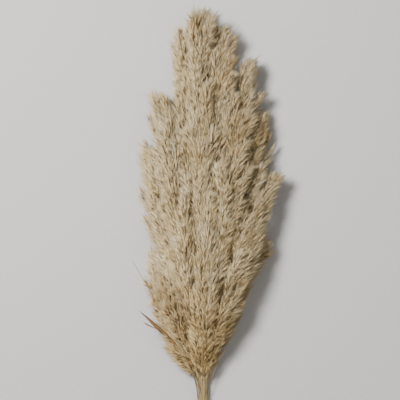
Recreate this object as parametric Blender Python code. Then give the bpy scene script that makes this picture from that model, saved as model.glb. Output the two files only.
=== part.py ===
"""A tied bundle of dried pampas grass, lying on its side on a table.

Twelve cut stems run side by side through a twine tie and a narrow neck. Above the neck they fan out, and
each carries one soft plume. Lengths are in metres, +Y runs from the cut ends to the plume tips and +Z is
up. While the bundle is being laid out, y = 0 is the neck. At the end it is moved so that the origin lies on
the table, under the middle of the whole bundle.
"""

import math
from collections import namedtuple

import bmesh
import bpy
from mathutils import Matrix, Vector

# %% Driving dimensions
STEM_RADIUS = 0.0015
GAP = 0.0003  # between pieces that touch in life
SOFT_GAP = 0.0008  # between two plumes
CUT_END_Y = -0.172
CUT_STAGGER = 0.004  # the stems weren't cut level
FAN_START_Y = -0.012
TIE_Y = -0.075
TWINE_RADIUS = 0.0012
TWINE_TURNS = 5
TIE_HEIGHT = 0.0089  # middle of the bunch above the table, at the tie
BUNCH_SLOPE = 0.0258  # the bunch rises this much per metre towards the plumes
CUT_SPREAD = 0.35  # how much wider apart the stems stand at the cut ends than at the tie
RISE_LENGTH = 0.120  # past the neck, over which a plume reaches its own height
STATION_STEP = 0.014
STEM_SIDES = 8
PLUME_SIDES = 12
LEAF_SIDES = 6

PITCH = 2 * STEM_RADIUS + GAP  # between neighbouring stems in a row
ROW_PITCH = PITCH * math.sin(math.radians(60))  # between rows, which nest in each other
MIDDLE_ROW = 1.5
TIE_LENGTH = TWINE_TURNS * 2 * TWINE_RADIUS

# column and row say where the stem runs through the tie. tip_x and tip_y are the plume's tip, base_y where
# its fluff begins, and bow is over 1 where it swings out early. height is that of its middle, and tip_height
# that of its tip, above the table.
Plume = namedtuple("Plume", "column row tip_x tip_y base_y radius height tip_height bow")
PLUMES = (
    Plume(-0.5, 1, -0.007, 0.530, 0.150, 0.034, 0.050, 0.030, 1.0),  # 01 tallest, in the middle
    Plume(0.5, 1, 0.028, 0.512, 0.130, 0.030, 0.015, 0.018, 0.9),  # 02 right of the top
    Plume(0.0, 2, 0.066, 0.465, 0.100, 0.029, 0.055, 0.032, 1.0),  # 03 right shoulder
    Plume(1.0, 0, 0.091, 0.390, 0.060, 0.029, 0.015, 0.019, 1.0),  # 04 right, under the shoulder
    Plume(1.0, 2, 0.108, 0.302, 0.024, 0.026, 0.052, 0.034, 0.8),  # 05 right wing
    Plume(1.5, 1, 0.088, 0.210, 0.008, 0.025, 0.017, 0.021, 1.0),  # 06 low on the right
    Plume(0.0, 0, -0.030, 0.507, 0.120, 0.030, 0.015, 0.018, 1.2),  # 07 left of the top
    Plume(-0.5, 3, -0.064, 0.418, 0.070, 0.028, 0.057, 0.032, 1.1),  # 08 left shoulder
    Plume(-1.0, 0, -0.081, 0.338, 0.024, 0.028, 0.015, 0.020, 1.2),  # 09 left wing
    Plume(-1.5, 1, -0.072, 0.192, 0.004, 0.026, 0.020, 0.024, 2.0),  # 10 low on the left
    Plume(-1.0, 2, -0.056, 0.164, 0.004, 0.026, 0.052, 0.046, 1.5),  # 11 short and tawny
    Plume(0.5, 3, 0.008, 0.250, 0.008, 0.028, 0.066, 0.064, 1.0),  # 12 short, in front
)

# A dry blade or bare straw starts against the outside of one stem. turn is the way round that stem, from
# +X over the top, and swing is over 1 where it leaves the bunch early.
Blade = namedtuple("Blade", "name host turn base_y tip width thickness swing")
BLADES = (
    Blade("dry_leaf_1", 9, 180, -0.030, (-0.094, 0.102, 0.046), 0.0052, 0.0007, 0.0),
    Blade("dry_leaf_2", 10, 200, -0.026, (-0.074, 0.090, 0.040), 0.0036, 0.0007, 0.1),
    Blade("dry_leaf_3", 5, 0, -0.034, (0.037, 0.050, 0.030), 0.0036, 0.0007, 0.0),
    Blade("bare_straw_1", 7, 120, -0.020, (-0.100, 0.172, 0.076), 0.0015, 0.0012, 0.8),
    Blade("bare_straw_2", 11, 60, -0.020, (0.030, 0.062, 0.056), 0.0015, 0.0012, 0.0),
)


# %% Where each piece runs
def blend(t):
    """0 to 1, with a smooth start and end."""
    t = min(max(t, 0.0), 1.0)
    return t * t * (3 - 2 * t)


def bunch_height(y):
    """Height of the middle of the bunch of stems above the table."""
    return TIE_HEIGHT + BUNCH_SLOPE * (y - TIE_Y)


def in_bunch(column, row, y):
    """Where a stem of the bunch passes y, on its way through the tie."""
    spread = 1 + CUT_SPREAD * max(0.0, (TIE_Y - y) / (TIE_Y - CUT_END_Y))
    x = column * PITCH * spread
    z = bunch_height(y) + (row - MIDDLE_ROW) * ROW_PITCH
    return Vector((x, y, z))


def plume_centre(plume, y):
    """The line that a stem and its plume follow: through the bunch, then out in a fan."""
    at = in_bunch(plume.column, plume.row, y)
    if y <= FAN_START_Y:
        return at
    soft_start = 0.08
    t = (y - FAN_START_Y) / (plume.tip_y - FAN_START_Y)
    t = (math.hypot(t, soft_start) - soft_start) / (math.hypot(1, soft_start) - soft_start)
    out = plume.bow * t + (1 - plume.bow) * t * t
    at.x += (plume.tip_x - plume.column * PITCH) * out
    droop = plume.height + (plume.tip_height - plume.height) * blend(2 * t - 1)
    at.z += (droop - at.z) * blend((y - FAN_START_Y) / RISE_LENGTH)
    return at


def fullness(plume, y):
    """The radius that the plume would have with nothing beside it: quick to open, with a long taper."""
    widest = 0.36
    t = (y - plume.base_y) / (plume.tip_y - plume.base_y)
    if not 0 <= t <= 1:
        return STEM_RADIUS
    if t < widest:
        grown = math.sin(math.pi / 2 * t / widest) ** 0.6
    else:
        grown = (1 - ((t - widest) / (1 - widest)) ** 2.4) ** 0.7
    return max(plume.radius * grown, STEM_RADIUS)


def blade_base(blade):
    """The point beside the host stem where the blade starts."""
    host = PLUMES[blade.host]
    out = STEM_RADIUS + GAP + blade.thickness / 2
    turn = math.radians(blade.turn)
    return plume_centre(host, blade.base_y) + Vector((math.cos(turn), 0, math.sin(turn))) * out


def blade_centre(blade, y):
    """The line that a blade follows from its stem to its tip, first along the bunch and then away from it."""
    base, tip = blade_base(blade), Vector(blade.tip)
    t = (y - blade.base_y) / (tip.y - blade.base_y)
    out = blade.swing * t + (1 - blade.swing) * t * t
    up = 1 - (1 - t) ** 2
    alongside = bunch_height(y) - bunch_height(blade.base_y)
    z = base.z + alongside * (1 - t) + (tip.z - base.z) * (out + up) / 2
    return Vector((base.x + (tip.x - base.x) * out, y, z))


def blade_half_width(blade, y):
    """Half the blade's width: narrow where it leaves the stem, widest below its middle, pointed at the tip."""
    t = (y - blade.base_y) / (blade.tip[1] - blade.base_y)
    narrow = blade.thickness * 0.6
    return narrow + (blade.width / 2 - narrow) * math.sin(math.pi * t**0.7)


def room(index, y):
    """The radius that a plume has at y: its fullness, or its share of the way to the nearest neighbour."""
    plume = PLUMES[index]
    centre, radius = plume_centre(plume, y), fullness(plume, y)
    for other_index, other in enumerate(PLUMES):
        if other_index == index or y > other.tip_y + STATION_STEP:
            continue
        apart = (plume_centre(other, y) - centre).length
        if y < other.base_y:
            radius = min(radius, apart - STEM_RADIUS - SOFT_GAP)
        else:
            wanted = fullness(plume, y)
            share = wanted / (wanted + fullness(other, y))
            radius = min(radius, (apart - SOFT_GAP) * share)
    for blade in BLADES:
        if blade.base_y <= y <= blade.tip[1]:
            apart = (blade_centre(blade, y) - centre).length
            radius = min(radius, apart - blade_half_width(blade, y) - SOFT_GAP)
    return radius


def stations(start, end):
    """Places along Y from start to end. Between the two they lie on one grid, the same for every piece."""
    first = math.floor(start / STATION_STEP) + 1
    last = math.ceil(end / STATION_STEP) - 1
    inner = [step * STATION_STEP for step in range(first, last + 1)]
    clear = STATION_STEP / 5
    return [start, *(y for y in inner if start + clear < y < end - clear), end]


# %% Making a solid from its sections
def material(name, colour, roughness):
    made = bpy.data.materials.new(name)
    made.use_nodes = True
    principled = made.node_tree.nodes["Principled BSDF"]
    principled.inputs["Base Color"].default_value = (*colour, 1)
    principled.inputs["Roughness"].default_value = roughness
    principled.inputs["Metallic"].default_value = 0
    return made


def ring(mesh, sides, centre, half_width, half_height, roll=0.0):
    """A ring of edges across Y: an ellipse about centre, turned by roll about Y, and never under the table."""
    face_y = Matrix.Rotation(math.pi / 2, 4, "X")
    size = Matrix.Diagonal((half_width, 1, half_height, 1))
    turned = Matrix.Rotation(roll, 4, "Y")
    place = Matrix.Translation(centre) @ turned @ size @ face_y
    made = bmesh.ops.create_circle(mesh, segments=sides, radius=1, matrix=place)
    for vertex in made["verts"]:
        vertex.co.z = max(vertex.co.z, 0.0)
    return list({edge for vertex in made["verts"] for edge in vertex.link_edges})


def loft(name, rings_of, look, parent):
    """One closed solid through the rings that rings_of adds to a mesh, with flat ends."""
    mesh = bmesh.new()
    rings = rings_of(mesh)
    for near, far in zip(rings, rings[1:]):
        bmesh.ops.bridge_loops(mesh, edges=near + far)
    bmesh.ops.holes_fill(mesh, edges=rings[0] + rings[-1], sides=0)
    return finish(name, mesh, look, parent)


def finish(name, mesh, look, parent):
    bmesh.ops.recalc_face_normals(mesh, faces=mesh.faces[:])
    data = bpy.data.meshes.new(name)
    mesh.to_mesh(data)
    mesh.free()
    data.shade_smooth()
    data.set_sharp_from_angle(angle=math.radians(40))
    data.materials.append(look)
    made = bpy.data.objects.new(name, data)
    made.parent = parent
    bpy.context.scene.collection.objects.link(made)
    return made


# %% The pieces
def make_stem(number, plume, look, parent):
    """The cane from its cut end up to where the fluff begins."""
    cut_y = CUT_END_Y + CUT_STAGGER * ((number * 5) % 4)

    def rings_of(mesh):
        places = [plume_centre(plume, y) for y in stations(cut_y, plume.base_y)]
        return [ring(mesh, STEM_SIDES, at, STEM_RADIUS, STEM_RADIUS) for at in places]

    return loft(f"stem_{number:02d}", rings_of, look, parent)


def make_plume(number, plume, look, parent):
    """The outer shape of one soft flower head, pressed flat where it lies on the table."""
    blunt = STATION_STEP / 4  # the last ring stands this far short of the tip

    def rings_of(mesh):
        rings = []
        for y in stations(plume.base_y + GAP, plume.tip_y - blunt):
            size = room(number - 1, y)
            rings.append(ring(mesh, PLUME_SIDES, plume_centre(plume, y), size, size))
        return rings

    return loft(f"plume_{number:02d}", rings_of, look, parent)


def make_blade(blade, look, parent):
    """A dry leaf or a bare straw. It starts flat against its stem and turns to lie level."""
    against_stem = math.radians(90 - blade.turn)
    short = 0.002  # the blade's solid stops this far before its point

    def rings_of(mesh):
        rings = []
        for y in stations(blade.base_y, blade.tip[1] - short):
            t = (y - blade.base_y) / (blade.tip[1] - blade.base_y)
            roll = against_stem * (1 - blend(1.5 * t))
            wide, thick = blade_half_width(blade, y), blade.thickness / 2
            rings.append(ring(mesh, LEAF_SIDES, blade_centre(blade, y), wide, thick, roll))
        return rings

    return loft(blade.name, rings_of, look, parent)


def wrap_point(turn, reach, y):
    """A point of a loop pulled tight round the bunch, reach outside the middles of its outer stems."""
    out = Vector((math.cos(turn), 0, math.sin(turn)))
    middles = [in_bunch(plume.column, plume.row, y) for plume in PLUMES]
    return max(middles, key=lambda middle: middle.dot(out)) + out * reach


def make_twine_band(look, parent):
    """The turns of twine round the bunch, as one sleeve."""
    sides = 36
    inner = STEM_RADIUS + GAP
    outer = inner + 2 * TWINE_RADIUS
    half = TIE_LENGTH / 2
    corners = ((outer, -half), (outer, half), (inner, half), (inner, -half))
    turns = [math.tau * (side + 0.5) / sides for side in range(sides)]
    mesh = bmesh.new()
    loops = []
    for reach, offset in corners:
        loops.append([mesh.verts.new(wrap_point(turn, reach, TIE_Y + offset)) for turn in turns])
    for near, far in zip(loops, loops[1:] + loops[:1]):
        for here in range(sides):
            after = (here + 1) % sides
            mesh.faces.new((near[here], near[after], far[after], far[here]))
    return finish("twine_band", mesh, look, parent)


def make_twine_knot(look, parent):
    """The knot that closes the tie, on top of the bunch."""
    half_size = Vector((0.0042, 0.0034, 0.0026))
    top = wrap_point(math.pi / 2, STEM_RADIUS + GAP + 2 * TWINE_RADIUS, TIE_Y).z
    middle = Vector((0, TIE_Y, top + GAP + half_size.z))
    mesh = bmesh.new()
    place = Matrix.Translation(middle) @ Matrix.Diagonal((*half_size, 1))
    bmesh.ops.create_uvsphere(mesh, u_segments=12, v_segments=8, radius=1, matrix=place)
    return finish("twine_knot", mesh, look, parent)


def put_origin_under_middle(bundle, pieces):
    """Moves the bundle so that the origin is under its middle, at the height of its lowest point."""
    corners = [vertex.co for piece in pieces for vertex in piece.data.vertices]
    low = Vector(min(corner[axis] for corner in corners) for axis in range(3))
    high = Vector(max(corner[axis] for corner in corners) for axis in range(3))
    middle = (low + high) / 2
    bundle.location = (-middle.x, -middle.y, -low.z)


def main():
    for old in list(bpy.data.objects):
        bpy.data.objects.remove(old)
    bundle = bpy.data.objects.new("bundle", None)
    bpy.context.scene.collection.objects.link(bundle)

    cane = material("dry_cane", (0.50, 0.38, 0.20), 0.55)
    fluff = material("plume_fluff", (0.62, 0.52, 0.37), 0.85)
    straw = material("dry_leaf", (0.55, 0.36, 0.18), 0.6)
    jute = material("jute_twine", (0.36, 0.25, 0.13), 0.9)

    pieces = []
    for number, plume in enumerate(PLUMES, start=1):
        pieces.append(make_stem(number, plume, cane, bundle))
        pieces.append(make_plume(number, plume, fluff, bundle))
    pieces += [make_blade(blade, straw, bundle) for blade in BLADES]
    pieces.append(make_twine_band(jute, bundle))
    pieces.append(make_twine_knot(jute, bundle))
    put_origin_under_middle(bundle, pieces)


main()
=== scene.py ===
# %% [markdown]
# # A tied bundle of dried pampas grass
# The bundle lies on its side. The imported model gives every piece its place: plain cane tubes, smooth soft
# shapes where the plumes are, a few dry blades and a twine sleeve. This script keeps those places and makes
# what the eye sees there: hairy plumes on thin branches, jointed canes, curled leaves and twisted twine.

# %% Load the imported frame
import math
import random

import bmesh
import bpy
import numpy as np
from mathutils import Matrix, Quaternion, Vector, geometry, noise


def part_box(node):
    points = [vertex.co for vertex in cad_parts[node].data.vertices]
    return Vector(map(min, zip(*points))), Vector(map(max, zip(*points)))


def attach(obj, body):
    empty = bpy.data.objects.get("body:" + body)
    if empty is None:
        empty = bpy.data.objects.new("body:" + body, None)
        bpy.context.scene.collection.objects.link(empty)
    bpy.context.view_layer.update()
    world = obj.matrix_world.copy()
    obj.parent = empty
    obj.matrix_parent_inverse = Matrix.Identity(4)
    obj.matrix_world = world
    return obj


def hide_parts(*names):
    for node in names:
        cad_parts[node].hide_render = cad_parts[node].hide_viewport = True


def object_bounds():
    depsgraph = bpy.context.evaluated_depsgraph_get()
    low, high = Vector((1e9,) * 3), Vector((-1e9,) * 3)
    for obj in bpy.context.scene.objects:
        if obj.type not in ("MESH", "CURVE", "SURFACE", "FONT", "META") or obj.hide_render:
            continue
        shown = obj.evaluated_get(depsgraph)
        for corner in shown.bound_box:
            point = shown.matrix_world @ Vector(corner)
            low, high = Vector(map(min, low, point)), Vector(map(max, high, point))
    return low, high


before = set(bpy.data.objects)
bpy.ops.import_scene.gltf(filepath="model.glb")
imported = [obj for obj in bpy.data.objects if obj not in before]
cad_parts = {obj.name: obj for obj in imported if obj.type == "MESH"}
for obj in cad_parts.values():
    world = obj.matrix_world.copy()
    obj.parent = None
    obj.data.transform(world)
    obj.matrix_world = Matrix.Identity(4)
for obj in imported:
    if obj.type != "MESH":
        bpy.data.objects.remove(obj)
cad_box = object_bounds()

print("nodes:", len(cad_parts), "box:", cad_box)

# %% [markdown]
# ## Where things are
# The tie is the one made thing in the bundle, so its middle is a good landmark. The neck, where the stems
# begin to fan out, is 75 mm above it.

# %% Landmarks
NECK_ABOVE_TIE = 0.075
SEED = 7

tie_low, tie_high = (Vector(corner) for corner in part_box("twine_band"))
tie = (tie_low + tie_high) / 2
axis_x = tie.x
neck_y = tie.y + NECK_ABOVE_TIE
plume_nodes = sorted(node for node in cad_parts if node.startswith("plume"))
stem_nodes = sorted(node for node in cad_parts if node.startswith("stem"))
straw_nodes = sorted(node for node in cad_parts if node.startswith("bare_straw"))
print("tie at", tuple(round(value, 4) for value in tie), "neck at y =", round(neck_y, 4))


# %% [markdown]
# ## Reading a line and a thickness from the model
# Each stem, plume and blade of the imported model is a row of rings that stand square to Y. The middles of
# those rings are the line that the real thing follows, so new detail is grown along that same line.

# %% Rings of a node
RING_DEPTH = 0.001  # points nearer together than this along Y are on one ring


def rings(node):
    """Arrays of the rings' y, middle and radius, from the cut end to the tip."""
    points = np.array([vertex.co[:] for vertex in bpy.data.objects[node].data.vertices])
    points = np.unique(points.round(6), axis=0)
    points = points[np.argsort(points[:, 1])]
    starts = np.flatnonzero(np.diff(points[:, 1]) > RING_DEPTH) + 1
    groups = np.split(points, starts)
    middles = np.array([(group.min(axis=0) + group.max(axis=0)) / 2 for group in groups])
    radii = np.array([np.ptp(group[:, 0]) / 2 for group in groups])
    return middles[:, 1], middles, radii


def middle_at(found, y):
    """The middle of a node at one or many y."""
    return np.stack([np.interp(y, found[0], found[1][:, axis]) for axis in range(3)], axis=-1)


def radius_at(found, y):
    """The radius of a node at one or many y."""
    return np.interp(y, found[0], found[2], left=0.0, right=0.0)


plume_rings = {node: rings(node) for node in plume_nodes}
print("rings:", {node: len(found[0]) for node, found in plume_rings.items()})

# %% [markdown]
# ## The outline of the whole bundle
# From above, the plumes together have one outline, and from the side one rounded back. The fluff leans
# towards the outline and is trimmed to it, and branches rise to the back in the hollows between plumes.

# %% Outline
OUTLINE_STEPS = 160
NARROWEST = 0.012
BACK_FALL = 0.8  # how far the back falls towards the sides: 0 is flat, and 1 a half circle

outline_y = np.linspace(cad_box[0][1], cad_box[1][1], OUTLINE_STEPS)


def furthest(right, up):
    """How far the plumes reach at each outline y, towards the right (1, 0), the left (-1, 0) or up (0, 1)."""
    best = np.full(OUTLINE_STEPS, NARROWEST)
    for found in plume_rings.values():
        middle = middle_at(found, outline_y)
        radius = radius_at(found, outline_y)
        reach = (middle[:, 0] - axis_x) * right + middle[:, 2] * up + radius
        best = np.maximum(best, np.where(radius > 0, reach, NARROWEST))
    return best


right_reach = furthest(1, 0)
left_reach = furthest(-1, 0)
top_reach = furthest(0, 1)
print("widest:", round(float(left_reach.max() + right_reach.max()), 3))
print("highest:", round(float(top_reach.max()), 3))


# %% Places against the outline
def sides_at(points):
    """How far each point is right of the axis, and how far the outline is there to the right and the left."""
    right = np.interp(points[:, 1], outline_y, right_reach)
    left = np.interp(points[:, 1], outline_y, left_reach)
    return points[:, 0] - axis_x, right, left


def across_at(points):
    """Where points lie across the bundle: -1 on its left edge, 0 on its axis, 1 on its right edge."""
    across, right, left = sides_at(points)
    return across / np.where(across > 0, right, left)


def past_outline(points):
    """How far each point lies outside the bundle's outline, in metres. It is negative inside."""
    across, right, left = sides_at(points)
    return np.maximum(across - right, -across - left)


def back_at(points):
    """The height of the bundle's rounded back over each point."""
    flat = np.clip(across_at(points), -1, 1)
    return np.interp(points[:, 1], outline_y, top_reach) * np.sqrt(1 - BACK_FALL * flat**2)


# %% [markdown]
# ## A strand
# Canes, branches, straws and twine are all long and round. A strand is a ring of edges at each point of a
# line, turned to face along it, bridged to the next ring and closed at both ends. Turning each ring on from
# the last one, and not afresh, keeps the tube from twisting.

# %% Strand helper
def strand(mesh, points, radii, sides):
    """Adds a closed tube through the points."""
    turn = Quaternion()
    loops = []
    for index, (point, radius) in enumerate(zip(points, radii)):
        before, after = points[max(index - 1, 0)], points[min(index + 1, len(points) - 1)]
        along = (Vector(after) - Vector(before)).normalized()
        turn = (turn @ Vector((0, 0, 1))).rotation_difference(along) @ turn
        place = Matrix.Translation(point) @ turn.to_matrix().to_4x4()
        made = bmesh.ops.create_circle(mesh, segments=sides, radius=radius, matrix=place)
        loops.append(list({edge for vertex in made["verts"] for edge in vertex.link_edges}))
    for near, far in zip(loops, loops[1:]):
        bmesh.ops.bridge_loops(mesh, edges=near + far)
    bmesh.ops.holes_fill(mesh, edges=loops[0] + loops[-1], sides=0)


def tapered(first_last, count):
    """Radii that run evenly from the first to the last."""
    return np.linspace(first_last[0], first_last[1], count)


# %% [markdown]
# ## From a working mesh to a piece
# A bmesh is only a working shape. It becomes a piece when its faces point outwards, it is smooth except over
# sharp edges, and it has a material. Its object stays at the origin, so its place is in its mesh.

# %% Piece helpers
SHARP_ANGLE = 50  # edges that turn by more degrees than this stay sharp


def place_mesh(name, data, material):
    """An object at the origin for a finished mesh."""
    data.shade_smooth()
    data.materials.append(material)
    made = bpy.data.objects.new(name, data)
    bpy.context.scene.collection.objects.link(made)
    return made


def piece(name, mesh, material):
    """Turns a finished bmesh into an object with its faces pointing outwards."""
    bmesh.ops.recalc_face_normals(mesh, faces=mesh.faces[:])
    data = bpy.data.meshes.new(name)
    mesh.to_mesh(data)
    mesh.free()
    made = place_mesh(name, data, material)
    data.set_sharp_from_angle(angle=math.radians(SHARP_ANGLE))
    return made


# %% [markdown]
# ## Tools for materials
# A material is a chain of nodes, and typing out every node and link hides the recipe. Each helper here adds
# one node and links it, so that the recipes below read as a list of steps. An effect that several materials
# share is a node group, made once and placed in each with its own values.

# %% Material helpers
BLACK = (0, 0, 0)
WHITE = (1, 1, 1)


def new_material(name, specular=0.5):
    """A material with nodes, its node tree and its shader."""
    made = bpy.data.materials.new(name)
    made.use_nodes = True
    principled = made.node_tree.nodes["Principled BSDF"]
    principled.inputs["Specular IOR Level"].default_value = specular
    return made, made.node_tree, principled


def new_group(name, inputs, outputs):
    """An empty node group with the named sockets."""
    group = bpy.data.node_groups.new(name, "ShaderNodeTree")
    for socket, kind, value in inputs:
        made = group.interface.new_socket(socket, in_out="INPUT", socket_type=kind)
        made.default_value = value
    for socket, kind in outputs:
        group.interface.new_socket(socket, in_out="OUTPUT", socket_type=kind)
    return group, group.nodes.new("NodeGroupInput"), group.nodes.new("NodeGroupOutput")


def give(tree, socket, given):
    """Links a socket to another one, or sets it to a colour or a number."""
    if isinstance(given, bpy.types.NodeSocket):
        tree.links.new(given, socket)
    elif isinstance(given, tuple):
        socket.default_value = (*given, 1)
    else:
        socket.default_value = given


def group_node(tree, group, **values):
    """The outputs of a group placed in a material, with its inputs set."""
    node = tree.nodes.new("ShaderNodeGroup")
    node.node_tree = group
    for socket, value in values.items():
        give(tree, node.inputs[socket], value)
    return node.outputs


# %% Node helpers
def ramp(tree, source, stops, mode="LINEAR"):
    """A colour ramp over a value, with (position, colour) stops."""
    node = tree.nodes.new("ShaderNodeValToRGB")
    node.color_ramp.interpolation = mode
    while len(node.color_ramp.elements) < len(stops):
        node.color_ramp.elements.new(1.0)
    for element, (position, colour) in zip(node.color_ramp.elements, stops):
        element.position = position
        element.color = (*colour, 1)
    tree.links.new(source, node.inputs[0])
    return node.outputs[0]


def mix(tree, blend, factor, first, second):
    """A mix of two colours. Each of the last three is a value or a socket to link."""
    node = tree.nodes.new("ShaderNodeMix")
    node.data_type = "RGBA"
    node.blend_type = blend
    for index, given in ((0, factor), (6, first), (7, second)):
        give(tree, node.inputs[index], given)
    return node.outputs[2]


def fine_noise(tree, vector, scale, detail):
    """Noise on coordinates that are scaled differently along each axis."""
    stretch = tree.nodes.new("ShaderNodeMapping")
    stretch.inputs["Scale"].default_value = scale
    tree.links.new(vector, stretch.inputs["Vector"])
    made = tree.nodes.new("ShaderNodeTexNoise")
    made.inputs["Scale"].default_value = 1.0
    made.inputs["Detail"].default_value = detail
    tree.links.new(stretch.outputs[0], made.inputs["Vector"])
    return made.outputs["Fac"]


def between(tree, source, low, high):
    """A value from 0 to 1 spread from low to high."""
    node = tree.nodes.new("ShaderNodeMapRange")
    node.inputs["To Min"].default_value = low
    node.inputs["To Max"].default_value = high
    tree.links.new(source, node.inputs["Value"])
    return node.outputs[0]


def raise_surface(tree, principled, height, depth):
    """Bump of the given depth from a height value."""
    bump = tree.nodes.new("ShaderNodeBump")
    bump.inputs["Distance"].default_value = depth
    tree.links.new(height, bump.inputs["Height"])
    tree.links.new(bump.outputs["Normal"], principled.inputs["Normal"])


# %% [markdown]
# ## Colour of the fluff
# A pampas hair is tan where it leaves the spikelet and pale, almost silver, at its tip, and no two spikelets
# have quite the same tint. Both facts are read from one small map: up the map is from root to tip, and
# across it are strips of tint. Every hair lies in one strip, so thousands of hairs share a few colours, as a
# painter's palette would give them.

# %% Palette strips
TINTS = 24
MAP = "OFBake"
STRIP_LIGHT = (0.64, 1.14)  # strips differ this much in lightness
LIGHT_LOSS = (0.5, 1.6)  # what the brown end loses, and how late along the palette it does
GREEN_LOSS = (0.18, 1.4)
BLUE_LOSS = (0.5, 1.2)


def kept(brown, loss, late):
    """What is left of a colour at a place from silver, 0, to brown, 1."""
    return 1 - loss * brown**late


def strip_tints():
    """The strips of the palette, from silver to brown, each a little lighter or darker than the next."""
    rng = random.Random(SEED)
    strips = []
    for strip in range(TINTS):
        brown = strip / (TINTS - 1)
        light = rng.uniform(*STRIP_LIGHT) * kept(brown, *LIGHT_LOSS)
        colour = (light, light * kept(brown, *GREEN_LOSS), light * kept(brown, *BLUE_LOSS))
        strips.append((strip / TINTS, colour))
    return strips


# %% Hair colour group
HAIR_ROUGHNESS = (0.85, 0.55)  # at the root and at the silky tip
HAIR_STREAKS = (160, 9, 1)
STREAK_SHADE = (0.55, 0.5, 0.42)


def hair_colour_group():
    """Root, middle and tip colours up the hair, times the tint of its strip."""
    group, into, out = new_group(
        "hair_colour",
        (("Root", "NodeSocketColor", (0.30, 0.20, 0.10, 1)),
         ("Middle", "NodeSocketColor", (0.6, 0.5, 0.34, 1)),
         ("Tip", "NodeSocketColor", (0.8, 0.74, 0.62, 1)),
         ("Streaks", "NodeSocketFloat", 0.2)),
        (("Color", "NodeSocketColor"), ("Roughness", "NodeSocketFloat")))
    links = group.links
    at = group.nodes.new("ShaderNodeUVMap")
    at.uv_map = MAP
    split = group.nodes.new("ShaderNodeSeparateXYZ")
    links.new(at.outputs["UV"], split.inputs[0])
    up = split.outputs["Y"]
    rise = ramp(group, up, ((0.05, BLACK), (0.5, WHITE)), "EASE")
    fade = ramp(group, up, ((0.45, BLACK), (0.95, WHITE)))
    body = mix(group, "MIX", rise, into.outputs["Root"], into.outputs["Middle"])
    whole = mix(group, "MIX", fade, body, into.outputs["Tip"])
    tint = ramp(group, split.outputs["X"], strip_tints(), "CONSTANT")
    tinted = mix(group, "MULTIPLY", 1.0, whole, tint)
    grain = fine_noise(group, at.outputs["UV"], HAIR_STREAKS, 2.0)
    shade = ramp(group, grain, ((0.3, STREAK_SHADE), (0.6, WHITE)))
    streaked = mix(group, "MULTIPLY", into.outputs["Streaks"], tinted, shade)
    links.new(streaked, out.inputs["Color"])
    links.new(between(group, up, *HAIR_ROUGHNESS), out.inputs["Roughness"])
    return group


hair_colour = hair_colour_group()
print("palette strips:", TINTS)

# %% Fluff materials
FLUFF_SHEEN = 0.12
FLUFF_SHEEN_ROUGHNESS = 0.5
FLUFF_SPECULAR = 0.25


def fluff_material(name, root, middle, tip, streaks):
    """Soft hair: the palette group for colour, a little sheen and no shine."""
    made, tree, principled = new_material(name, FLUFF_SPECULAR)
    principled.inputs["Sheen Weight"].default_value = FLUFF_SHEEN
    principled.inputs["Sheen Roughness"].default_value = FLUFF_SHEEN_ROUGHNESS
    palette = group_node(tree, hair_colour, Root=root, Middle=middle, Tip=tip, Streaks=streaks)
    tree.links.new(palette["Color"], principled.inputs["Base Color"])
    tree.links.new(palette["Roughness"], principled.inputs["Roughness"])
    return made


cream_fluff = fluff_material("cream_fluff", (0.44, 0.29, 0.14), (0.95, 0.77, 0.47), (1.0, 0.89, 0.57), 0.35)
tawny_fluff = fluff_material("tawny_fluff", (0.26, 0.17, 0.08), (0.66, 0.49, 0.26), (0.94, 0.82, 0.58), 0.4)
print("fluff materials:", cream_fluff.name, tawny_fluff.name)

# %% [markdown]
# ## One spikelet
# Fluff isn't loose hair. It is thousands of spikelets: a narrow husk about 9 mm long, with a few silky hairs
# that stand out from it and reach past its tip. Hair curves would be less work, but real faces stay when
# the model is handed on. A spikelet is repeated tens of thousands of times, so the husk is a three-sided
# spindle and each hair a three-sided sliver. Ten different ones, turned and scaled at random, are enough.

# %% Spikelet sizes
SPIKELET_KINDS = 10
HAIRS = 4
SPIKELET_LENGTH = 0.0165
HUSK_LENGTH = 0.0095
HUSK_WIDTH = 0.0009
HUSK_WIDEST = 0.4  # share of its length where it is widest
HUSK_BEND = (0.0001, 0.0007)
BENT_BY_THEN = 0.16  # share of the bend that it has there
HAIR_WIDTH = 0.00046
HAIR_SCATTER = 0.3  # of the even spacing round the husk
HAIR_OFF = 0.0001  # from the husk's middle line
HAIR_START = (0.05, 0.45)  # where hairs leave the husk, as a share of its length
HAIR_LEAN = (0.8, 4.5)  # degrees
HAIR_LENGTH = (0.75, 1.0)  # where the hairs end, as a share of the spikelet's length
LONGEST = 1.25  # where the rare long hairs end
USUAL_HAIRS = 0.94  # the share that isn't long
MAP_ROOT = 0.01  # where a root lies on the map, and how far up from it the tip does
MAP_RISE = 0.96
MAP_SHIFT = 0.02  # one side of a husk or hair lies this much further up
MAP_SIDE = 0.3  # how far from the middle of its strip a point lies


# %% Spikelet shapes
def sliver(mesh, start, end, width):
    """A closed three-sided hair that comes to a point at its end."""
    along = end - start
    turn = along.to_track_quat("Z", "Y").to_matrix().to_4x4()
    place = Matrix.Translation((start + end) / 2) @ turn
    bmesh.ops.create_cone(mesh, cap_ends=True, segments=3, radius1=width / 2, radius2=0, depth=along.length,
                          matrix=place)


def husk(mesh, bend):
    """A closed three-sided spindle, widest below its middle and bent a little to one side."""
    ends = [mesh.verts.new((0, 0, 0)), mesh.verts.new((bend, 0, HUSK_LENGTH))]
    place = Matrix.Translation((bend * BENT_BY_THEN, 0, HUSK_LENGTH * HUSK_WIDEST))
    ring = bmesh.ops.create_circle(mesh, segments=3, radius=HUSK_WIDTH / 2, matrix=place)["verts"]
    for end in ends:
        for vertex, after in zip(ring, ring[1:] + ring[:1]):
            mesh.faces.new((end, vertex, after))


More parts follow.
